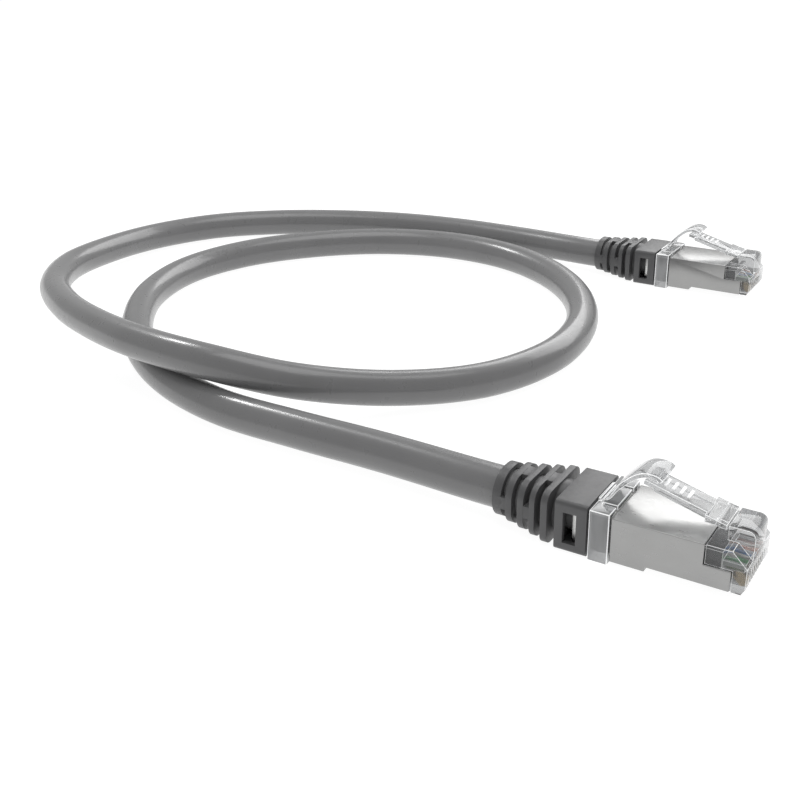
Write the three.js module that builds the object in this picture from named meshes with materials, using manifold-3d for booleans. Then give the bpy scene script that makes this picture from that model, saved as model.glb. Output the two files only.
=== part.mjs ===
// Shielded ethernet patch cable: one round screened cable with an identical RJ45 plug on each end.
// Millimetres, +Z up. Both plugs point along +X with their latches on top, and everything rests on z = 0.
// The origin is on that surface, below the middle of the box that holds the two plugs.
//
// A plug is built in a frame of its own: x = 0 at the lower front corner of its nose, +X out of the
// nose, y = 0 in its middle plane and z = 0 under its rear collar.

import * as THREE from 'three';
import { mergeVertices } from 'three/addons/utils/BufferGeometryUtils.js';
import Module from 'manifold-3d';

const wasm = await Module();
wasm.setup();

// ---- driving dimensions ----

const AXIS_Z = 4.62; // height of the cable's centre line inside the plug

const NOSE = { rear: -5.6, foot: 0, front: 0.5, bottom: 1.43, lip: 2.4, brow: 5.8, top: 8.15, halfWidth: 5.84 };
const BODY = { rear: -19.6, bottom: 1.85, top: 7.8, halfWidth: 5.55 };
const CAVITY = { rear: -19.9, front: -3.4, bottom: 2.9, top: 6.9, halfWidth: 4.6 };
const TAB_ROOT = { rear: -3.4, top: 10.4, round: 1.1, halfWidth: 3.05 };

const SHIELD = { rear: -19.93, step: -14.36, front: -5.8, wing: -1.7, thickness: 0.3, halfWidth: 5.95 };
const SHIELD_Z = { rearBottom: 0.63, bottom: 1.43, wingTop: 4.77, top: 8.19 };

const COLLAR = { rear: -23.35, front: -20.13, top: 8.75, halfWidth: 6.225 };
const COLLAR_HOLE = { bottom: 1.4, top: 7.9, halfWidth: 5.25 };
const COLLAR_SLOT = { rear: -22.4, inner: 2.95, outer: 3.5 };

const PINS = 8;
const PIN_PITCH = 1.02;
const WIRE = { front: -0.35, rear: -26.2, radius: 0.46, z: 4.85, straightFrom: -13, bundledTo: -24 };
const CONTACT = { rear: -3, front: 0.1, bottom: 1.75, top: 4.2, thickness: 0.36, round: 0.8 };
const SLOT = { rear: -3.3, top: 4.4, width: 0.62 };
const LOAD_BAR = { rear: -11.5, front: -3.6, bottom: 3.1, top: 6.7, halfWidth: 4.45 };

const LATCH = { front: -3.7, bend: -5.2, rear: -16.6, halfWidth: 2.2, thickness: 0.75 };
const LATCH_Z = { front: 10.4, bend: 10.75, rear: 13.9 };
const EAR = { rear: -7, front: -5.3, bottom: 9.95, top: 10.85, halfWidth: 3.05 };
const RAIL = { rear: -15.2, front: -6.4, depth: 0.45, width: 0.6 };
const PAD = { rear: -16.1, front: -14.8, top: 14.35, halfWidth: 1.6 };

const GUARD_HALF_WIDTH = 2.8;
const GUARD_PROFILE = [
  [-22.6, 9.12], [-22.2, 9.75], [-20.9, 11.6], [-19.4, 13.3], [-17.9, 14.6], [-16.6, 15.2],
  [-15.2, 15.3], [-14.2, 15.05], [-13.6, 14.6], [-14, 14.15], [-14.7, 14.5], [-15.5, 14.6],
  [-16.3, 14.5], [-17.4, 14], [-18.9, 12.75], [-20.4, 11.1], [-21.6, 9.35], [-22.1, 9.05],
];
const GUARD_ROOT = { rear: -23.35, front: -22.95, top: 9.3 };

const BLOCK = { rear: -28.98, front: -23.7, bottom: 0.14, top: 8.93, halfWidth: 6.225, round: 0.8 };
const BLOCK_HOLLOW = { rear: -28.2, bottom: 1.35, top: 7.95, halfWidth: 5.25 };
const WINDOW = { rear: -27.6, front: -25.4, bottom: 1.75, top: 7.1 };
const RIBS = [
  { rear: -31.4, front: -30.3, halfWidth: 6.2, bottom: 0.05, top: 9.2, round: 1.9 },
  { rear: -33.5, front: -32.6, halfWidth: 5.85, bottom: 0.2, top: 9.1, round: 2.4 },
  { rear: -35.75, front: -34.7, halfWidth: 5.5, bottom: 0.35, top: 9, round: 2.9 },
  { rear: -38.05, front: -36.95, halfWidth: 5.1, bottom: 0.45, top: 9, round: 3.4 },
  { rear: -40.6, front: -39.1, halfWidth: 4.7, bottom: 0.55, top: 9.05, round: 4.1 },
];
const NECK_RADIUS = 4.25; // round neck between the block and the first rib
const BRIDGE = { overlap: 0.4, halfWidth: 1.5, halfHeight: 1.05 };

const CRIMP = { rear: -26.45, front: -19.75, bottom: 1.49, top: 7.75, halfWidth: 4.95, round: 0.7, thickness: 0.3 };
const BRAID = { rear: -26.3, front: -24, outer: 2.8, inner: 2.52 };

const CABLE_RADIUS = 3.6;
const BORE_RADIUS = CABLE_RADIUS + 0.2;
const JACKET_END = -26.6;
const CABLE_SIDES = 12;
const CABLE_STEPS = 80;

const PLUG_STAGGER = 36.4; // how far plug b's nose is behind plug a's
const PLUG_SPACING = 125.4; // between the plugs' middle planes
const BOOT_END = RIBS[RIBS.length - 1].rear;
const PLUG_MIDDLE = -(NOSE.front + BOOT_END) / 2;
const PLUGS = {
  a: { x: PLUG_MIDDLE + PLUG_STAGGER / 2, y: -PLUG_SPACING / 2 },
  b: { x: PLUG_MIDDLE - PLUG_STAGGER / 2, y: PLUG_SPACING / 2 },
};

// The cable's centre line from plug a to plug b: out of the boot, down onto the surface, once round an
// inner loop, over its own first run in a long low hump, and back round the outside.
const ROUTE = [
  [PLUGS.a.x + JACKET_END, PLUGS.a.y, AXIS_Z],
  [PLUGS.a.x + BOOT_END - 3, PLUGS.a.y, AXIS_Z],
  [-27.3, -61.2, 4.05], [-46.5, -61, 3.75], [-65.6, -60.3, 3.65], [-84.1, -55.2, 3.65],
  [-100.7, -45.7, 3.65], [-114.8, -32.7, 3.65], [-125.4, -16.8, 3.65], [-129.8, 1.7, 3.65],
  [-125.4, 20.2, 3.65], [-114, 35.8, 3.65], [-98.7, 47.3, 3.65], [-80.7, 53, 3.65],
  [-61.7, 51.7, 3.65], [-44.5, 43.3, 3.65], [-31, 29.8, 3.65], [-22.6, 12.7, 3.65],
  [-20.9, -6.3, 3.65], [-27.1, -24.3, 3.8], [-39.6, -38.7, 4.9], [-54, -51, 8],
  [-71.4, -57.3, 11], [-90.5, -56.3, 11], [-108.9, -51, 9.8], [-126.5, -43.3, 8.6],
  [-142.2, -32.7, 7.6], [-153.6, -17.5, 6.5], [-158.9, 0.9, 5.2], [-159, 20, 4.1],
  [-151.4, 37.2, 3.7], [-137.1, 49.7, 3.65], [-120.1, 58.5, 3.65], [-101.8, 64.3, 3.65],
  [-82.8, 66.8, 3.65], [-63.6, 66, 3.9],
  [PLUGS.b.x + BOOT_END - 3, PLUGS.b.y, AXIS_Z],
  [PLUGS.b.x + JACKET_END, PLUGS.b.y, AXIS_Z],
];

// ---- materials ----

const plastic = (color) => new THREE.MeshStandardMaterial({ color, roughness: 0.42, metalness: 0 });
const metal = (color, roughness) => new THREE.MeshStandardMaterial({ color, roughness, metalness: 1 });
const clear = new THREE.MeshStandardMaterial({
  color: 0xdfe5e8, roughness: 0.08, metalness: 0, transparent: true, opacity: 0.45,
});
const jacketGrey = plastic(0x6e6e6e);
const bootGrey = plastic(0x666666);
const innerPlastic = plastic(0x5a5c5f);
const nickel = metal(0xb4b4b2, 0.3);
const gold = metal(0xd6a54a, 0.22);
const tinnedCopper = metal(0xb9b4ab, 0.5);
const WIRE_COLOURS = [0xe9efe6, 0x2f8f4e, 0xeef0f0, 0x2f62b5, 0xe9edf2, 0xe0742d, 0xf2ece6, 0x6e4630];

// ---- shape helpers ----

// Local (u, v, depth) of an extrusion onto the plug's axes.
const ALONG_X = new THREE.Matrix4().makeBasis(
  new THREE.Vector3(0, 1, 0), new THREE.Vector3(0, 0, 1), new THREE.Vector3(1, 0, 0));
const ALONG_Y = new THREE.Matrix4().makeBasis(
  new THREE.Vector3(1, 0, 0), new THREE.Vector3(0, 0, 1), new THREE.Vector3(0, -1, 0));

function polygon(points) {
  return new THREE.Shape(points.map(([u, v]) => new THREE.Vector2(u, v)));
}

function roundedRect(halfWidth, bottom, top, radius) {
  const shape = new THREE.Shape();
  const side = halfWidth - radius;
  shape.absarc(side, bottom + radius, radius, -Math.PI / 2, 0);
  shape.absarc(side, top - radius, radius, 0, Math.PI / 2);
  shape.absarc(-side, top - radius, radius, Math.PI / 2, Math.PI);
  shape.absarc(-side, bottom + radius, radius, Math.PI, 1.5 * Math.PI);
  shape.closePath();
  return shape;
}

function circle(radius, sides, centreV = 0) {
  const points = [];
  for (let i = 0; i < sides; i += 1) {
    const angle = (2 * Math.PI * (i + 0.5)) / sides;
    points.push([radius * Math.cos(angle), centreV + radius * Math.sin(angle)]);
  }
  return polygon(points);
}

function withHole(shape, hole) {
  shape.holes.push(new THREE.Path(hole.getPoints(2)));
  return shape;
}

// A (y, z) shape swept along X.
function sweepX(shape, rear, front) {
  const geometry = new THREE.ExtrudeGeometry(shape, {
    depth: front - rear, bevelEnabled: false, curveSegments: 2,
  });
  return geometry.applyMatrix4(ALONG_X).translate(rear, 0, 0);
}

// An (x, z) shape swept across the plug, the same distance to both sides.
function sweepY(shape, halfWidth) {
  const geometry = new THREE.ExtrudeGeometry(shape, {
    depth: 2 * halfWidth, bevelEnabled: false, curveSegments: 2,
  });
  return geometry.applyMatrix4(ALONG_Y).translate(0, halfWidth, 0);
}

function box(rear, front, right, left, bottom, top) {
  const geometry = new THREE.BoxGeometry(front - rear, left - right, top - bottom);
  return geometry.translate((rear + front) / 2, (right + left) / 2, (bottom + top) / 2);
}

function middleBox(rear, front, halfWidth, bottom, top) {
  return box(rear, front, -halfWidth, halfWidth, bottom, top);
}

function solid(geometry) {
  const bare = geometry.clone();
  bare.deleteAttribute('normal');
  bare.deleteAttribute('uv');
  const merged = mergeVertices(bare, 1e-4);
  return new wasm.Manifold(new wasm.Mesh({
    numProp: 3,
    vertProperties: new Float32Array(merged.attributes.position.array),
    triVerts: new Uint32Array(merged.index.array),
  }));
}

function joined(geometries) {
  return geometries.map(solid).reduce((sum, next) => sum.add(next));
}

function less(base, geometries) {
  return geometries.map(solid).reduce((rest, next) => rest.subtract(next), base);
}

function geometryOf(shape) {
  const mesh = shape.getMesh();
  const geometry = new THREE.BufferGeometry();
  geometry.setAttribute('position', new THREE.BufferAttribute(mesh.vertProperties, 3));
  geometry.setIndex(new THREE.BufferAttribute(mesh.triVerts, 1));
  geometry.computeVertexNormals();
  return geometry;
}

const pinY = (pin) => (pin - (PINS - 1) / 2) * PIN_PITCH;
const pins = Array.from({ length: PINS }, (_, pin) => pin);

// ---- plug pieces ----

// Clear body: the part in the shield, the nose with its eight contact slots, and the block that the
// latch bends from. The conductors run in a cavity that is open at the rear.
function housing() {
  const nose = sweepY(polygon([
    [NOSE.rear, NOSE.bottom], [NOSE.foot, NOSE.bottom], [NOSE.front, NOSE.lip],
    [NOSE.front, NOSE.brow], [NOSE.front - 2.3, NOSE.top], [NOSE.rear, NOSE.top],
  ]), NOSE.halfWidth);
  const insideShield = middleBox(BODY.rear, NOSE.rear + 0.4, BODY.halfWidth, BODY.bottom, BODY.top);
  const root = new THREE.Shape();
  root.moveTo(TAB_ROOT.rear, NOSE.brow);
  root.lineTo(NOSE.front, NOSE.brow);
  root.absarc(NOSE.front - TAB_ROOT.round, TAB_ROOT.top - TAB_ROOT.round, TAB_ROOT.round, 0, Math.PI / 2);
  root.lineTo(TAB_ROOT.rear, TAB_ROOT.top);
  root.closePath();
  const wingRecess = [-1, 1].map((side) => box(
    NOSE.rear - 0.5, SHIELD.wing + 0.2,
    side > 0 ? BODY.halfWidth : -NOSE.halfWidth - 1, side > 0 ? NOSE.halfWidth + 1 : -BODY.halfWidth,
    0, SHIELD_Z.wingTop + 0.2,
  ));
  const slots = pins.map((pin) => box(
    SLOT.rear, NOSE.front + 1, pinY(pin) - SLOT.width / 2, pinY(pin) + SLOT.width / 2, 0, SLOT.top,
  ));
  const wireSpace = middleBox(CAVITY.front - 1, WIRE.front + 0.15, 4.25, SLOT.top - 0.1, WIRE.z + 0.6);
  const cavity = middleBox(CAVITY.rear, CAVITY.front, CAVITY.halfWidth, CAVITY.bottom, CAVITY.top);
  const body = joined([nose, insideShield, sweepY(root, TAB_ROOT.halfWidth)]);
  return geometryOf(less(body, [...wingRecess, ...slots, wireSpace, cavity]));
}

// Stamped sleeve round the body, with a deeper rear part and two side wings that reach along the nose.
function shield() {
  const t = SHIELD.thickness;
  const inner = SHIELD.halfWidth - t;
  const roof = SHIELD_Z.top - t;
  const rearOuter = middleBox(
    SHIELD.rear, SHIELD.step, SHIELD.halfWidth, SHIELD_Z.rearBottom, SHIELD_Z.top);
  const rearSleeve = less(solid(rearOuter), [
    middleBox(SHIELD.rear - 1, SHIELD.step - t, inner, SHIELD_Z.rearBottom + t, roof),
    middleBox(SHIELD.step - 1, SHIELD.step + 1, inner, SHIELD_Z.bottom + t, roof),
  ]);
  const frontOuter = middleBox(
    SHIELD.step - t, SHIELD.front, SHIELD.halfWidth, SHIELD_Z.bottom, SHIELD_Z.top);
  const frontSleeve = less(solid(frontOuter), [
    middleBox(SHIELD.step - 1, SHIELD.front + 1, inner, SHIELD_Z.bottom + t, roof),
  ]);
  const wings = [-1, 1].map((side) => solid(box(
    SHIELD.front - t, SHIELD.wing,
    side > 0 ? inner : -SHIELD.halfWidth, side > 0 ? SHIELD.halfWidth : -inner,
    SHIELD_Z.bottom, SHIELD_Z.wingTop,
  )));
  return geometryOf(rearSleeve.add(frontSleeve).add(wings[0]).add(wings[1]));
}

// Clear ring behind the shield, with the low step that the latch guard bends from and a slot in its
// top on each side of the guard.
function collar() {
  const ring = middleBox(COLLAR.rear, COLLAR.front, COLLAR.halfWidth, 0, COLLAR.top);
  const root = middleBox(
    GUARD_ROOT.rear, GUARD_ROOT.front, GUARD_HALF_WIDTH, COLLAR.top - 0.5, GUARD_ROOT.top);
  const hole = middleBox(
    COLLAR.rear - 1, COLLAR.front + 1, COLLAR_HOLE.halfWidth, COLLAR_HOLE.bottom, COLLAR_HOLE.top);
  const slots = [-1, 1].map((side) => box(
    COLLAR_SLOT.rear, COLLAR.front + 1,
    side > 0 ? COLLAR_SLOT.inner : -COLLAR_SLOT.outer, side > 0 ? COLLAR_SLOT.outer : -COLLAR_SLOT.inner,
    COLLAR_HOLE.top - 0.5, COLLAR.top + 1,
  ));
  return geometryOf(less(joined([ring, root]), [hole, ...slots]));
}

// Lever that rises towards the rear from its bend on the nose: plate, two ears, two rails and the pad
// that the guard presses on.
function latch() {
  const slope = (LATCH_Z.rear - LATCH_Z.bend) / (LATCH.bend - LATCH.rear);
  const top = (x) => LATCH_Z.bend + slope * (LATCH.bend - x);
  const t = LATCH.thickness;
  const plate = sweepY(polygon([
    [LATCH.front, LATCH_Z.front - t], [LATCH.front, LATCH_Z.front], [LATCH.bend, LATCH_Z.bend],
    [LATCH.rear, LATCH_Z.rear], [LATCH.rear - 0.2, LATCH_Z.rear - t], [LATCH.bend, LATCH_Z.bend - t],
  ]), LATCH.halfWidth);
  const hingeStrip = sweepY(polygon([
    [LATCH.front, LATCH_Z.front - t], [LATCH.front, LATCH_Z.front], [EAR.front - 0.2, EAR.top - 0.05],
    [EAR.front - 0.2, EAR.bottom],
  ]), TAB_ROOT.halfWidth);
  const ears = sweepY(polygon([
    [EAR.rear, top(EAR.rear) - 1.2], [EAR.rear, top(EAR.rear)], [EAR.front, top(EAR.front)],
    [EAR.front, EAR.bottom],
  ]), EAR.halfWidth);
  const rails = [-1, 1].map((side) => {
    const rail = sweepY(polygon([
      [RAIL.rear, top(RAIL.rear) - t / 2], [RAIL.front, top(RAIL.front) - t / 2],
      [RAIL.front, top(RAIL.front) - t - RAIL.depth], [RAIL.rear, top(RAIL.rear) - t - RAIL.depth],
    ].reverse()), RAIL.width / 2);
    return rail.translate(0, side * (LATCH.halfWidth - RAIL.width / 2), 0);
  });
  const pad = middleBox(PAD.rear, PAD.front, PAD.halfWidth, top(PAD.front) - t / 2, PAD.top);
  return geometryOf(joined([plate, hingeStrip, ears, ...rails, pad]));
}

// Springy arch from the collar over the latch's free end, so that the latch can't snag.
function latchGuard() {
  return sweepY(polygon(GUARD_PROFILE.slice().reverse()), GUARD_HALF_WIDTH);
}

// Strain relief: a hollow block with a window in each side, a round neck, then five ribs round the
// cable. Gaps between ribs are bridged above and below and at the two sides by turns.
function boot() {
  const block = sweepX(
    roundedRect(BLOCK.halfWidth, BLOCK.bottom, BLOCK.top, BLOCK.round), BLOCK.rear, BLOCK.front);
  const ribs = RIBS.map((rib) => sweepX(
    roundedRect(rib.halfWidth, rib.bottom, rib.top, rib.round), rib.rear, rib.front));
  const neck = sweepX(
    circle(NECK_RADIUS, 24, AXIS_Z), RIBS[0].front - BRIDGE.overlap, BLOCK.rear + BRIDGE.overlap);
  const bridges = RIBS.slice(1).map((rib, i) => {
    const rear = rib.front - BRIDGE.overlap;
    const front = RIBS[i].rear + BRIDGE.overlap;
    return i % 2 === 0
      ? middleBox(rear, front, BRIDGE.halfWidth, rib.bottom, rib.top)
      : middleBox(rear, front, rib.halfWidth, AXIS_Z - BRIDGE.halfHeight, AXIS_Z + BRIDGE.halfHeight);
  });
  const bore = sweepX(circle(BORE_RADIUS, 24, AXIS_Z), BOOT_END - 1, BLOCK.front);
  const hollow = middleBox(
    BLOCK_HOLLOW.rear, BLOCK.front + 1, BLOCK_HOLLOW.halfWidth, BLOCK_HOLLOW.bottom, BLOCK_HOLLOW.top);
  const windows = middleBox(
    WINDOW.rear, WINDOW.front, BLOCK.halfWidth + 1, WINDOW.bottom, WINDOW.top);
  return geometryOf(less(joined([block, neck, ...ribs, ...bridges]), [bore, hollow, windows]));
}

// Metal sleeve that joins the shield to the cable's screen.
function crimpSleeve() {
  const outer = roundedRect(CRIMP.halfWidth, CRIMP.bottom, CRIMP.top, CRIMP.round);
  const t = CRIMP.thickness;
  const inner = roundedRect(CRIMP.halfWidth - t, CRIMP.bottom + t, CRIMP.top - t, CRIMP.round - t);
  return sweepX(withHole(outer, inner), CRIMP.rear, CRIMP.front);
}

// End of the cable's braided screen, bared past the jacket.
function braid() {
  const ring = withHole(circle(BRAID.outer, 16, AXIS_Z), circle(BRAID.inner, 16, AXIS_Z));
  return sweepX(ring, BRAID.rear, BRAID.front);
}

// Guide that holds the eight conductors side by side.
function loadBar() {
  const frame = solid(middleBox(
    LOAD_BAR.rear, LOAD_BAR.front, LOAD_BAR.halfWidth, LOAD_BAR.bottom, LOAD_BAR.top));
  const slot = middleBox(
    LOAD_BAR.rear - 1, LOAD_BAR.front + 1, pinY(PINS - 1) + WIRE.radius + 0.12,
    WIRE.z - WIRE.radius - 0.1, WIRE.z + WIRE.radius + 0.1);
  return geometryOf(less(frame, [slot]));
}

// Upright blade in its slot, rounded where the jack's spring contact meets it.
function contact(pin) {
  const profile = new THREE.Shape();
  profile.moveTo(CONTACT.rear, CONTACT.bottom);
  profile.absarc(
    CONTACT.front - CONTACT.round, CONTACT.bottom + CONTACT.round, CONTACT.round, -Math.PI / 2, 0);
  profile.lineTo(CONTACT.front, CONTACT.top - 0.9);
  profile.lineTo(CONTACT.front - 0.9, CONTACT.top);
  profile.lineTo(CONTACT.rear, CONTACT.top);
  profile.closePath();
  return sweepY(profile, CONTACT.thickness / 2).translate(0, pinY(pin), 0);
}

// From the bundle inside the braid to its own place in the row above the contacts.
class ConductorPath extends THREE.Curve {
  constructor(pin) {
    super();
    this.pin = pin;
  }

  getPoint(t, target = new THREE.Vector3()) {
    const x = THREE.MathUtils.lerp(WIRE.rear, WIRE.front, t);
    const spread = THREE.MathUtils.smoothstep(x, WIRE.bundledTo, WIRE.straightFrom);
    const layer = this.pin % 2 === 0 ? -0.75 : 0.75;
    return target.set(
      x,
      THREE.MathUtils.lerp(pinY(this.pin) / 2, pinY(this.pin), spread),
      THREE.MathUtils.lerp(AXIS_Z + layer, WIRE.z, spread),
    );
  }
}

function conductor(pin) {
  return new THREE.ExtrudeGeometry(circle(WIRE.radius, 6), {
    steps: 10, bevelEnabled: false, extrudePath: new ConductorPath(pin),
  });
}

function cableJacket() {
  const points = ROUTE.map(([x, y, z]) => new THREE.Vector3(x, y, z));
  return new THREE.ExtrudeGeometry(circle(CABLE_RADIUS, CABLE_SIDES), {
    steps: CABLE_STEPS, bevelEnabled: false,
    extrudePath: new THREE.CatmullRomCurve3(points, false, 'centripetal'),
  });
}

// ---- assembly ----

function named(name, geometry, material) {
  const mesh = new THREE.Mesh(geometry, material.clone());
  mesh.name = name;
  return mesh;
}

function plug(letter) {
  const group = new THREE.Group();
  const prefix = `plug_${letter}_`;
  const pieces = [
    ['housing', housing(), clear],
    ['shield', shield(), nickel],
    ['collar', collar(), clear],
    ['latch', latch(), clear],
    ['latch_guard', latchGuard(), clear],
    ['boot', boot(), bootGrey],
    ['crimp_sleeve', crimpSleeve(), nickel],
    ['braid_end', braid(), tinnedCopper],
    ['load_bar', loadBar(), innerPlastic],
  ];
  pins.forEach((pin) => {
    pieces.push([`contact_${pin + 1}`, contact(pin), gold]);
    pieces.push([`conductor_${pin + 1}`, conductor(pin), plastic(WIRE_COLOURS[pin])]);
  });
  pieces.forEach(([name, geometry, material]) => group.add(named(prefix + name, geometry, material)));
  group.position.set(PLUGS[letter].x, PLUGS[letter].y, 0);
  return group;
}

const patchCable = new THREE.Group();
patchCable.add(plug('a'), plug('b'), named('cable_jacket', cableJacket(), jacketGrey));

export default patchCable;
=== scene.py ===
"""Shielded ethernet patch cable: the looks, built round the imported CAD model."""
import math

import bmesh
import bpy
from mathutils import Matrix, Vector


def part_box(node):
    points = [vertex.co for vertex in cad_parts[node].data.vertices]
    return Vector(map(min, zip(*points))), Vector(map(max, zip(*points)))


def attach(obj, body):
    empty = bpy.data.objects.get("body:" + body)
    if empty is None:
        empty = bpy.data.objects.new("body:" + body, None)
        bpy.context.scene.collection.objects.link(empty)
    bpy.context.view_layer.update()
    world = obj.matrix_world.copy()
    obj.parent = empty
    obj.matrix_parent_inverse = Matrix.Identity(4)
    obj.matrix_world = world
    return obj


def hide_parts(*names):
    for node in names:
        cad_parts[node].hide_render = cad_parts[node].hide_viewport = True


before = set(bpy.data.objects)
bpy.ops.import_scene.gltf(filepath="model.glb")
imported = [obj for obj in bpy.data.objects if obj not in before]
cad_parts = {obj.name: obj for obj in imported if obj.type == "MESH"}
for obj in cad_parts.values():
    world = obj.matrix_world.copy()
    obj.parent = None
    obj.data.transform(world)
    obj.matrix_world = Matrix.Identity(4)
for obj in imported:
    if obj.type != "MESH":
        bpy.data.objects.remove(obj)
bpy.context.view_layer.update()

MM = 0.001
PLUGS = ("a", "b")
PINS = range(1, 9)

# Plug frame, in millimetres: x = 0 at the lower front corner of the nose, y = 0 in the middle plane.
NOSE_FRONT = 0.5
AXIS_Z = 4.62


def plug_origin(letter):
    """Where the plug's own frame sits in the row frame, in metres."""
    low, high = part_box(f"plug_{letter}_housing")
    return Vector((high[0] - NOSE_FRONT * MM, (low[1] + high[1]) / 2, 0))


ORIGIN = {letter: plug_origin(letter) for letter in PLUGS}


# ---- camera, floor and light ----

CAMERA_PLACE = (0.068845, -0.2029, 0.09325)
CAMERA_YAW, CAMERA_DOWN, CAMERA_ROLL = math.radians(123.06), math.radians(24.82), math.radians(-1.5)
CAMERA_LENS, CAMERA_SENSOR = 49.37, 36
CAMERA_CLIP = 0.005

FLOOR_HALF = 30.0
FLOOR_GREY, FLOOR_GLOW = 0.2, 0.93
WORLD_STRENGTH = 0.5
SOFTBOX_AIM = (-0.06, 0, 0)
SOFTBOXES = (  # name, place, size, power in watts
    ("back softbox", (0.0, 0.46, 0.33), (0.6, 0.3), 1.8),
    ("top softbox", (-0.05, 0, 0.6), (0.4, 0.4), 1.1),
    ("left softbox", (-0.42, 0.1, 0.4), (0.1, 0.1), 0.7),
)


def linked_object(name, data):
    """A new object of that data, in the scene."""
    obj = bpy.data.objects.new(name, data)
    bpy.context.scene.collection.objects.link(obj)
    return obj


def add_camera():
    data = bpy.data.cameras.new("camera")
    data.lens = CAMERA_LENS
    data.sensor_width = CAMERA_SENSOR
    data.clip_start = CAMERA_CLIP
    camera = linked_object("camera", data)
    forward = Vector((math.cos(CAMERA_YAW) * math.cos(CAMERA_DOWN),
                      math.sin(CAMERA_YAW) * math.cos(CAMERA_DOWN), -math.sin(CAMERA_DOWN)))
    level = Vector((math.sin(CAMERA_YAW), -math.cos(CAMERA_YAW), 0))
    up = level.cross(forward)
    right = math.cos(CAMERA_ROLL) * level + math.sin(CAMERA_ROLL) * up
    up = right.cross(forward)
    turn = Matrix((right, up, -forward)).transposed().to_4x4()
    camera.matrix_world = Matrix.Translation(CAMERA_PLACE) @ turn
    bpy.context.scene.camera = camera


def floor_material():
    material = bpy.data.materials.new("floor")
    material.use_nodes = True
    shader = material.node_tree.nodes["Principled BSDF"]
    shader.inputs["Base Color"].default_value = (FLOOR_GREY, FLOOR_GREY, FLOOR_GREY, 1)
    shader.inputs["Roughness"].default_value = 0.8
    shader.inputs["Specular IOR Level"].default_value = 0
    shader.inputs["Emission Color"].default_value = (1, 1, 1, 1)
    shader.inputs["Emission Strength"].default_value = FLOOR_GLOW
    return material


def add_floor():
    mesh = bpy.data.meshes.new("floor")
    corners = [(x * FLOOR_HALF, y * FLOOR_HALF, 0) for x, y in ((-1, -1), (1, -1), (1, 1), (-1, 1))]
    mesh.from_pydata(corners, [], [(0, 1, 2, 3)])
    mesh.materials.append(floor_material())
    floor = linked_object("floor", mesh)


def add_softbox(name, place, size, power):
    data = bpy.data.lights.new(name, "AREA")
    data.shape = "RECTANGLE"
    data.size, data.size_y = size
    data.energy = power
    light = linked_object(name, data)
    light.location = place
    light.rotation_euler = (Vector(SOFTBOX_AIM) - Vector(place)).to_track_quat("-Z", "Y").to_euler()


def add_studio():
    scene = bpy.context.scene
    scene.view_settings.view_transform = "Standard"
    world = bpy.data.worlds.new("studio")
    world.use_nodes = True
    world.node_tree.nodes["Background"].inputs["Color"].default_value = (1, 1, 1, 1)
    world.node_tree.nodes["Background"].inputs["Strength"].default_value = WORLD_STRENGTH
    scene.world = world
    for softbox in SOFTBOXES:
        add_softbox(*softbox)


# ---- materials ----

NOISE_LOW, NOISE_HIGH = 0.3, 0.7
STRIPE_FULL, STRIPE_NONE = -0.985, -0.965


def set_inputs(shader_node, values):
    """Sets sockets by name, with an underscore for each space."""
    for name, value in values.items():
        shader_node.inputs[name.replace("_", " ")].default_value = value


class Finish:
    """A material with a Principled shader, and the texture nodes that drive it."""

    def __init__(self, name, color, roughness, **sockets):
        self.material = bpy.data.materials.new(name)
        self.material.use_nodes = True
        self.tree = self.material.node_tree
        self.shader = self.tree.nodes["Principled BSDF"]
        self.color = color
        self.shader.inputs["Base Color"].default_value = (*color, 1)
        self.shader.inputs["Roughness"].default_value = roughness
        set_inputs(self.shader, sockets)
        self.coords = self.tree.nodes.new("ShaderNodeTexCoord")

    def node(self, kind, **inputs):
        made = self.tree.nodes.new(kind)
        set_inputs(made, inputs)
        return made

    def link(self, source, target):
        self.tree.links.new(source, target)

    def noise(self, size_mm, detail=3.0, stretch=(1, 1, 1)):
        """Noise whose features are about that size."""
        mapping = self.node("ShaderNodeMapping", Scale=stretch)
        self.link(self.coords.outputs["Object"], mapping.inputs["Vector"])
        noise = self.node("ShaderNodeTexNoise", Scale=1 / (size_mm * MM), Detail=detail)
        self.link(mapping.outputs["Vector"], noise.inputs["Vector"])
        return noise.outputs["Fac"]

    def ramp(self, factor, low, high, out_low, out_high):
        scale = self.node("ShaderNodeMapRange", From_Min=low, From_Max=high,
                          To_Min=out_low, To_Max=out_high)
        self.link(factor, scale.inputs["Value"])
        return scale.outputs["Result"]

    def color_mix(self, factor):
        """A mix of two colours that feeds the base colour."""
        mix = self.tree.nodes.new("ShaderNodeMix")
        mix.data_type = "RGBA"
        self.link(factor, mix.inputs["Factor"])
        self.link(mix.outputs["Result"], self.shader.inputs["Base Color"])
        return mix

    def vary_roughness(self, factor, low, high):
        self.link(self.ramp(factor, NOISE_LOW, NOISE_HIGH, low, high), self.shader.inputs["Roughness"])

    def vary_color(self, factor, darker, lighter):
        mix = self.color_mix(self.ramp(factor, NOISE_LOW, NOISE_HIGH, 0, 1))
        mix.inputs["A"].default_value = (*[c * darker for c in self.color], 1)
        mix.inputs["B"].default_value = (*[min(1, c * lighter) for c in self.color], 1)

    def stripe_below(self, color):
        """A band of a second colour where the surface faces down."""
        facing = self.tree.nodes.new("ShaderNodeSeparateXYZ")
        self.link(self.coords.outputs["Normal"], facing.inputs["Vector"])
        base = self.shader.inputs["Base Color"].links[0].from_socket
        mix = self.color_mix(self.ramp(facing.outputs["Z"], STRIPE_FULL, STRIPE_NONE, 1, 0))
        self.link(base, mix.inputs["A"])
        mix.inputs["B"].default_value = (*color, 1)

    def bump(self, factor, height_mm, strength):
        bump = self.node("ShaderNodeBump", Strength=strength, Distance=height_mm * MM)
        self.link(factor, bump.inputs["Height"])
        self.link(bump.outputs["Normal"], self.shader.inputs["Normal"])


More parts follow.
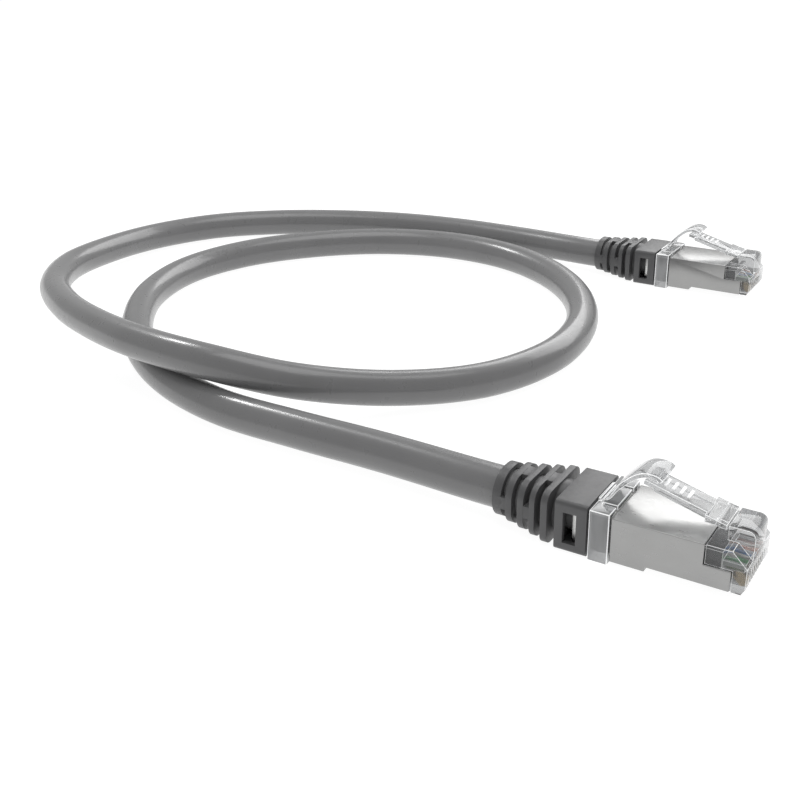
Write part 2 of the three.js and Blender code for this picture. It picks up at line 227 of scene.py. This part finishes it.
def jacket_material():
    finish = Finish("jacket_pvc", (0.165, 0.165, 0.167), 0.3, Coat_Weight=0.3, Coat_Roughness=0.1)
    finish.vary_color(finish.noise(9, 2), 0.96, 1.04)
    finish.vary_roughness(finish.noise(2.5, 4), 0.26, 0.34)
    finish.bump(finish.noise(0.35, 4), 0.01, 0.5)
    return finish.material


def boot_material():
    finish = Finish("boot_pvc", (0.078, 0.078, 0.08), 0.42, Coat_Weight=0.08, Coat_Roughness=0.3)
    finish.vary_color(finish.noise(3), 0.95, 1.05)
    finish.vary_roughness(finish.noise(0.8, 4), 0.38, 0.47)
    finish.bump(finish.noise(0.14), 0.014, 0.7)
    return finish.material


def clear_material():
    """Clear plastic, with so little refraction that the conductors show almost undistorted."""
    finish = Finish("clear_polycarbonate", (0.5, 0.505, 0.51), 0.03, IOR=1.07,
                    Transmission_Weight=0.88, Coat_Weight=0.6, Coat_Roughness=0.04)
    finish.vary_roughness(finish.noise(1.5), 0.02, 0.06)
    finish.bump(finish.noise(2.2, 2), 0.004, 0.2)
    return finish.material


def collar_material():
    """The same plastic where it is thick and greyed by what is behind it."""
    finish = Finish("clear_collar", (0.36, 0.365, 0.37), 0.12, IOR=1.15,
                    Transmission_Weight=0.35, Coat_Weight=0.7, Coat_Roughness=0.05)
    finish.vary_color(finish.noise(2.5, 2, (1, 1, 0.3)), 0.85, 1.15)
    finish.bump(finish.noise(1.8, 2), 0.01, 0.35)
    return finish.material


def glowing_edge_highlight_material():
    """The moulded edges of the clear pieces, with a painted highlight: they glow faintly by emission to
    stand for the light they catch.
    """
    # Emission makes these edges glow though they are no lamp: painted highlight.
    finish = Finish("clear_edges_painted_highlight", (0.86, 0.87, 0.875), 0.22, IOR=1.45, Transmission_Weight=0.15,
                    Emission_Color=(1, 1, 1, 1), Emission_Strength=0.3)
    finish.bump(finish.noise(0.6, 2), 0.01, 0.4)
    return finish.material


def shield_material():
    """Rolled metal, with its grain along the plug."""
    finish = Finish("shield_nickel", (0.345, 0.345, 0.342), 0.3, Metallic=0.95)
    finish.vary_color(finish.noise(4), 0.97, 1.02)
    finish.vary_roughness(finish.noise(0.25, 4, (0.15, 1, 1)), 0.27, 0.34)
    finish.bump(finish.noise(0.16, 4, (0.08, 1, 1)), 0.001, 0.2)
    return finish.material


def crimp_material():
    finish = Finish("crimp_nickel", (0.6, 0.6, 0.59), 0.3, Metallic=1.0)
    finish.vary_roughness(finish.noise(0.3, 4), 0.24, 0.38)
    return finish.material


def braid_material():
    finish = Finish("tinned_braid", (0.6, 0.57, 0.52), 0.4, Metallic=1.0)
    wave = finish.node("ShaderNodeTexWave", Scale=900.0, Distortion=1.5)
    finish.link(finish.coords.outputs["Object"], wave.inputs["Vector"])
    finish.bump(wave.outputs["Fac"], 0.08, 0.8)
    return finish.material


def gold_material():
    finish = Finish("contact_gold", (0.78, 0.62, 0.38), 0.2, Metallic=1.0)
    finish.vary_roughness(finish.noise(0.3, 4), 0.14, 0.27)
    return finish.material


def inner_plastic_material():
    finish = Finish("inner_plastic", (0.11, 0.112, 0.115), 0.35)
    finish.bump(finish.noise(0.3), 0.01, 0.5)
    return finish.material


def wire_material(name, color, stripe):
    """Coloured insulation, with a stripe along its underside if it has a second colour."""
    finish = Finish(name, color, 0.32, Coat_Weight=0.2, Coat_Roughness=0.15)
    finish.vary_color(finish.noise(1.2, 2), 0.95, 1.03)
    if stripe:
        finish.stripe_below(stripe)
    finish.bump(finish.noise(0.2), 0.006, 0.5)
    return finish.material


GREEN, BLUE = (0.1, 0.6, 0.2), (0.1, 0.36, 0.85)
ORANGE, BROWN = (0.98, 0.3, 0.1), (0.5, 0.2, 0.14)
WIRES = (  # name, colour, stripe; in the order of the pins
    ("wire_white_green", (0.8, 0.86, 0.8), GREEN), ("wire_green", GREEN, None),
    ("wire_white_orange", (0.86, 0.84, 0.8), ORANGE), ("wire_blue", BLUE, None),
    ("wire_white_blue", (0.8, 0.83, 0.88), BLUE), ("wire_orange", ORANGE, None),
    ("wire_white_brown", (0.86, 0.83, 0.78), BROWN), ("wire_brown", BROWN, None),
)

add_camera()
add_floor()
add_studio()

JACKET = jacket_material()
BOOT = boot_material()
CLEAR = clear_material()
CLEAR_EDGE_PAINTED_HIGHLIGHT = glowing_edge_highlight_material()
COLLAR = collar_material()
SHIELD = shield_material()
CRIMP = crimp_material()
BRAID = braid_material()
GOLD = gold_material()
INNER = inner_plastic_material()
WIRE_FINISH = [wire_material(*wire) for wire in WIRES]


# ---- the cable ----

CABLE_DIAMETER = 0.0072
JACKET_END, BOOT_END = -26.6 * MM, -40.6 * MM
RUN_OUT = 3 * MM
ROUTE = [
    (ORIGIN["a"].x + JACKET_END, ORIGIN["a"].y, AXIS_Z * MM),
    (ORIGIN["a"].x + BOOT_END - RUN_OUT, ORIGIN["a"].y, AXIS_Z * MM),
    (-0.0273, -0.0612, 0.00405), (-0.0465, -0.061, 0.00375), (-0.0656, -0.0603, 0.00365),
    (-0.0841, -0.0552, 0.00365), (-0.1007, -0.0457, 0.00365), (-0.1148, -0.0327, 0.00365),
    (-0.1254, -0.0168, 0.00365), (-0.1298, 0.0017, 0.00365), (-0.1254, 0.0202, 0.00365),
    (-0.114, 0.0358, 0.00365), (-0.0987, 0.0473, 0.00365), (-0.0807, 0.053, 0.00365),
    (-0.0617, 0.0517, 0.00365), (-0.0445, 0.0433, 0.00365), (-0.031, 0.0298, 0.00365),
    (-0.0226, 0.0127, 0.00365), (-0.0209, -0.0063, 0.00365), (-0.0271, -0.0243, 0.0038),
    (-0.0396, -0.0387, 0.0049), (-0.054, -0.051, 0.008), (-0.0714, -0.0573, 0.011),
    (-0.0905, -0.0563, 0.011), (-0.1089, -0.051, 0.0098), (-0.1265, -0.0433, 0.0086),
    (-0.1422, -0.0327, 0.0076), (-0.1536, -0.0175, 0.0065), (-0.1589, 0.0009, 0.0052),
    (-0.159, 0.02, 0.0041), (-0.1514, 0.0372, 0.0037), (-0.1371, 0.0497, 0.00365),
    (-0.1201, 0.0585, 0.00365), (-0.1018, 0.0643, 0.00365), (-0.0828, 0.0668, 0.00365),
    (-0.0636, 0.066, 0.0039),
    (ORIGIN["b"].x + BOOT_END - RUN_OUT, ORIGIN["b"].y, AXIS_Z * MM),
    (ORIGIN["b"].x + JACKET_END, ORIGIN["b"].y, AXIS_Z * MM),
]
CABLE_STEPS_PER_POINT = 16
CABLE_RING_STEPS = 10


def smooth_curve(points, steps):
    """Centripetal Catmull-Rom curve through the points."""
    points = [Vector(p) for p in points]
    padded = [2 * points[0] - points[1], *points, 2 * points[-1] - points[-2]]
    line = []
    for p0, p1, p2, p3 in zip(padded, padded[1:], padded[2:], padded[3:]):
        t0 = 0.0
        t1 = t0 + (p1 - p0).length ** 0.5
        t2 = t1 + (p2 - p1).length ** 0.5
        t3 = t2 + (p3 - p2).length ** 0.5
        for step in range(steps):
            t = t1 + (t2 - t1) * step / steps
            a1 = p0.lerp(p1, (t - t0) / (t1 - t0))
            a2 = p1.lerp(p2, (t - t1) / (t2 - t1))
            a3 = p2.lerp(p3, (t - t2) / (t3 - t2))
            b1 = a1.lerp(a2, (t - t0) / (t2 - t0))
            b2 = a2.lerp(a3, (t - t1) / (t3 - t1))
            line.append(b1.lerp(b2, (t - t1) / (t2 - t1)))
    line.append(points[-1])
    return line


def add_cable():
    line = smooth_curve(ROUTE, CABLE_STEPS_PER_POINT)
    data = bpy.data.curves.new("jacket", "CURVE")
    data.dimensions = "3D"
    data.bevel_depth = CABLE_DIAMETER / 2
    data.bevel_resolution = CABLE_RING_STEPS
    data.use_fill_caps = True
    spline = data.splines.new("POLY")
    spline.points.add(len(line) - 1)
    for point, place in zip(spline.points, line):
        point.co = (*place, 1)
    spline.use_smooth = True
    data.materials.append(JACKET)
    cable = linked_object("jacket", data)
    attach(cable, "root")
    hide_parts("cable_jacket")


add_cable()


# ---- mesh helpers, in plug millimetres ----

CORNER_STEPS, ROUND_SIDES = 10, 48
WELD_DISTANCE, FLAT_ANGLE = 1e-4, math.radians(0.5)
BEVEL_ANGLE, SMOOTH_ANGLE = math.radians(35), math.radians(32)


def apply_modifiers(obj):
    """Makes the mesh what the modifiers make of it."""
    mesh = bpy.data.meshes.new_from_object(obj.evaluated_get(bpy.context.evaluated_depsgraph_get()))
    obj.modifiers.clear()
    obj.data = mesh


def object_of(name, vertices, faces):
    mesh = bpy.data.meshes.new(name)
    mesh.from_pydata(vertices, [], faces)
    return linked_object(name, mesh)


def rounded_outline(half_width, bottom, top, radius):
    """(y, z) points round a rectangle with round corners."""
    side = half_width - radius
    corners = ((side, bottom + radius, -90), (side, top - radius, 0),
               (-side, top - radius, 90), (-side, bottom + radius, 180))
    points = []
    for y, z, start in corners:
        for step in range(CORNER_STEPS + 1):
            angle = math.radians(start + 90 * step / CORNER_STEPS)
            points.append((y + radius * math.cos(angle), z + radius * math.sin(angle)))
    return points


def round_outline(radius):
    """(y, z) points of a circle round the cable's axis."""
    angles = [2 * math.pi * i / ROUND_SIDES for i in range(ROUND_SIDES)]
    return [(radius * math.cos(angle), AXIS_Z + radius * math.sin(angle)) for angle in angles]


def x_prism(name, outline, rear, front):
    """A (y, z) outline carried along the plug, closed at both ends."""
    count = len(outline)
    vertices = [(x, y, z) for x in (rear, front) for y, z in outline]
    faces = [tuple(reversed(range(count)))]
    for i in range(count):
        j = (i + 1) % count
        faces.append((i, j, count + j, count + i))
    faces.append(tuple(range(count, 2 * count)))
    return object_of(name, vertices, faces)


def side_prism(name, profile, half_width):
    """An (x, z) profile carried across the plug, profile anticlockwise seen from -Y."""
    count = len(profile)
    vertices = [(x, y, z) for y in (-half_width, half_width) for x, z in profile]
    faces = [tuple(range(count)), tuple(reversed(range(count, 2 * count)))]
    for i in range(count):
        j = (i + 1) % count
        faces.append((i, count + i, count + j, j))
    return object_of(name, vertices, faces)


def block(name, rear, front, half_width, bottom, top):
    outline = [(-half_width, bottom), (half_width, bottom), (half_width, top), (-half_width, top)]
    return x_prism(name, outline, rear, front)


def combine(base, others, operation):
    """Boolean of base with each of the others, which are used up."""
    for other in others:
        cut = base.modifiers.new("combine", "BOOLEAN")
        cut.operation = operation
        cut.solver = "EXACT"
        cut.object = other
    apply_modifiers(base)
    for other in others:
        bpy.data.objects.remove(other)


def soften(obj, width, materials, segments=3, clamp=True):
    """Gives the piece its materials and rounds its edges; the rounded faces take the last material."""
    for material in materials:
        obj.data.materials.append(material)
    welded = bmesh.new()
    welded.from_mesh(obj.data)
    bmesh.ops.remove_doubles(welded, verts=welded.verts, dist=WELD_DISTANCE)
    bmesh.ops.dissolve_limit(welded, angle_limit=FLAT_ANGLE, verts=welded.verts, edges=welded.edges)
    bmesh.ops.recalc_face_normals(welded, faces=welded.faces)
    welded.to_mesh(obj.data)
    welded.free()
    bevel = obj.modifiers.new("soften", "BEVEL")
    bevel.width = width
    bevel.segments = segments
    bevel.limit_method = "ANGLE"
    bevel.angle_limit = BEVEL_ANGLE
    bevel.miter_outer = "MITER_ARC"
    bevel.use_clamp_overlap = clamp
    bevel.material = len(materials) - 1
    apply_modifiers(obj)


def finish_piece(obj, letter, body, cad_node):
    obj.data.transform(Matrix.Translation(ORIGIN[letter]) @ Matrix.Scale(MM, 4))
    for polygon in obj.data.polygons:
        polygon.use_smooth = True
    obj.data.set_sharp_from_angle(angle=SMOOTH_ANGLE)
    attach(obj, body)
    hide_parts(cad_node)


def cad_copy(name, cad_node, letter):
    """A copy of a CAD node's mesh, back in plug millimetres."""
    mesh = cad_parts[cad_node].data.copy()
    mesh.transform(Matrix.Scale(1 / MM, 4) @ Matrix.Translation(-ORIGIN[letter]))
    mesh.materials.clear()
    return linked_object(name, mesh)


# ---- plug pieces ----

BOOT_REAR, BOOT_FRONT = -28.98, -23.7
BOOT_SECTION = {"half_width": 6.225, "bottom": 0.14, "top": 8.93, "radius": 0.8}
BOOT_EDGE = 0.16
RIBS = (  # rear, front, half width, bottom, top, corner radius
    (-31.4, -30.3, 6.2, 0.05, 9.2, 1.9), (-33.5, -32.6, 5.85, 0.2, 9.1, 2.4),
    (-35.75, -34.7, 5.5, 0.35, 9.0, 2.9), (-38.05, -36.95, 5.1, 0.45, 9.0, 3.4),
    (-40.6, -39.1, 4.7, 0.55, 9.05, 4.1),
)
NECK_RADIUS, NECK_OVERLAP = 4.25, 0.4
BORE = {"radius": 3.75, "rear": -42, "front": -24}
HOLLOW = (-28.2, -23, 5.25, 1.35, 7.95)  # rear, front, half width, bottom, top
WINDOW = (-27.6, -25.4, 7, 1.75, 7.1)
BRIDGE_HALF_WIDTH, BRIDGE_HALF_HEIGHT = 1.5, 1.05
BRIDGE_OVERLAP, BRIDGE_INSET = 0.4, 0.03


def bridge_between(rib, next_rib, upright):
    """Joins two ribs: above and below the cable if upright, beside it if not."""
    rear, front = next_rib[1] - BRIDGE_OVERLAP, rib[0] + BRIDGE_OVERLAP
    half_width, bottom, top = next_rib[2:5]
    if upright:
        return block("bridge", rear, front, BRIDGE_HALF_WIDTH, bottom + BRIDGE_INSET, top - BRIDGE_INSET)
    return block("bridge", rear, front, half_width - BRIDGE_INSET,
                 AXIS_Z - BRIDGE_HALF_HEIGHT, AXIS_Z + BRIDGE_HALF_HEIGHT)


def add_boot(letter):
    """Block with a window in each side, neck, and five ribs with bridges between them."""
    body = x_prism(f"{letter}_boot", rounded_outline(**BOOT_SECTION), BOOT_REAR, BOOT_FRONT)
    neck_rear, neck_front = RIBS[0][1] - NECK_OVERLAP, BOOT_REAR + NECK_OVERLAP
    parts = [x_prism("neck", round_outline(NECK_RADIUS), neck_rear, neck_front)]
    for rear, front, *section in RIBS:
        parts.append(x_prism("rib", rounded_outline(*section), rear, front))
    for i, (rib, next_rib) in enumerate(zip(RIBS, RIBS[1:])):
        parts.append(bridge_between(rib, next_rib, upright=i % 2 == 0))
    combine(body, parts, "UNION")
    bore = x_prism("bore", round_outline(BORE["radius"]), BORE["rear"], BORE["front"])
    combine(body, [bore, block("hollow", *HOLLOW), block("window", *WINDOW)], "DIFFERENCE")
    soften(body, BOOT_EDGE, [BOOT])
    finish_piece(body, letter, "root", f"plug_{letter}_boot")


GUARD_HALF_WIDTH, GUARD_TOP = 2.8, 15.3
GUARD_STEPS_PER_POINT, GUARD_EDGE = 4, 0.13
GUARD_OUTER = (
    (-22.6, 9.12), (-22.2, 9.75), (-20.9, 11.6), (-19.4, 13.3), (-17.9, 14.6), (-16.6, 15.2),
    (-15.2, 15.3), (-14.2, 15.05), (-13.6, 14.6),
)
GUARD_INNER = (
    (-14.0, 14.15), (-14.7, 14.5), (-15.5, 14.6), (-16.3, 14.5), (-17.4, 14.0), (-18.9, 12.75),
    (-20.4, 11.1), (-21.6, 9.35), (-22.1, 9.05),
)


def add_guard(letter):
    """Springy arch over the free end of the latch."""
    profile = []
    for line in (GUARD_OUTER, GUARD_INNER):
        places = smooth_curve([(x, 0, z) for x, z in line], GUARD_STEPS_PER_POINT)
        profile += [(place.x, min(place.z, GUARD_TOP)) for place in places]
    guard = side_prism(f"{letter}_latch_guard", profile[::-1], GUARD_HALF_WIDTH)
    soften(guard, GUARD_EDGE, [CLEAR, CLEAR_EDGE_PAINTED_HIGHLIGHT])
    cad_node = f"plug_{letter}_latch_guard"
    finish_piece(guard, letter, f"guard_{letter}", cad_node)


LATCH_EDGE = 0.08
LATCH_BEND, LATCH_REAR = (-5.2, 10.75), (-16.6, 13.9)  # (x, z) at the two ends of the lever's top
GRIP_BARS = (-14.0, -12.8, -11.6, -10.4)
GRIP_LENGTH, GRIP_HALF_WIDTH, GRIP_EDGE = 0.45, 1.2, 0.05
GRIP_HEIGHT, GRIP_DEPTH = 0.14, 0.05


def latch_top(x):
    slope = (LATCH_REAR[1] - LATCH_BEND[1]) / (LATCH_REAR[0] - LATCH_BEND[0])
    return LATCH_BEND[1] + slope * (x - LATCH_BEND[0])


def add_grip_bar(letter, rear):
    front = rear + GRIP_LENGTH
    profile = [
        (rear, latch_top(rear) - GRIP_DEPTH), (front, latch_top(front) - GRIP_DEPTH),
        (front, latch_top(front) + GRIP_HEIGHT), (rear, latch_top(rear) + GRIP_HEIGHT),
    ]
    bar = side_prism(f"{letter}_grip", profile, GRIP_HALF_WIDTH)
    # The bars are made wholly of the edge material, so they glow all over with its painted highlight.
    soften(bar, GRIP_EDGE, [CLEAR_EDGE_PAINTED_HIGHLIGHT], 2)
    finish_piece(bar, letter, f"latch_{letter}", f"plug_{letter}_latch")


def add_latch(letter):
    """The lever, with four grip bars across its top.

    Its shortest edges would hold a clamped bevel down to nothing, so the bevel is not clamped.
    """
    latch = cad_copy(f"{letter}_latch", f"plug_{letter}_latch", letter)
    soften(latch, LATCH_EDGE, [CLEAR, CLEAR_EDGE_PAINTED_HIGHLIGHT], clamp=False)
    finish_piece(latch, letter, f"latch_{letter}", f"plug_{letter}_latch")
    for rear in GRIP_BARS:
        add_grip_bar(letter, rear)


REFINED = [  # part, slot, materials, bevel width, bevel segments
    ("shield", "shield_nickel", [SHIELD], 0.14, 3),
    ("housing", "clear_polycarbonate", [CLEAR, CLEAR_EDGE_PAINTED_HIGHLIGHT], 0.08, 2),
    ("collar", "clear_polycarbonate", [COLLAR, CLEAR_EDGE_PAINTED_HIGHLIGHT], 0.13, 3),
    ("crimp_sleeve", "crimp_nickel", [CRIMP], 0.06, 2),
    ("braid_end", "braid_copper", [BRAID], 0.03, 2),
    ("load_bar", "inner_plastic", [INNER], 0.12, 2),
]
for pin, wire, wire_finish in zip(PINS, WIRES, WIRE_FINISH):
    REFINED.append((f"contact_{pin}", "contact_gold", [GOLD], 0.06, 2))
    REFINED.append((f"conductor_{pin}", wire[0], [wire_finish], 0.05, 2))


def add_refined(letter, part, slot, materials, width, segments):
    """A CAD piece with its edges rounded."""
    cad_node = f"plug_{letter}_{part}"
    piece = cad_copy(f"{letter}_{part}", cad_node, letter)
    soften(piece, width, materials, segments)
    finish_piece(piece, letter, "root", cad_node)


for plug in PLUGS:
    add_boot(plug)
    add_guard(plug)
    add_latch(plug)
    for row in REFINED:
        add_refined(plug, *row)
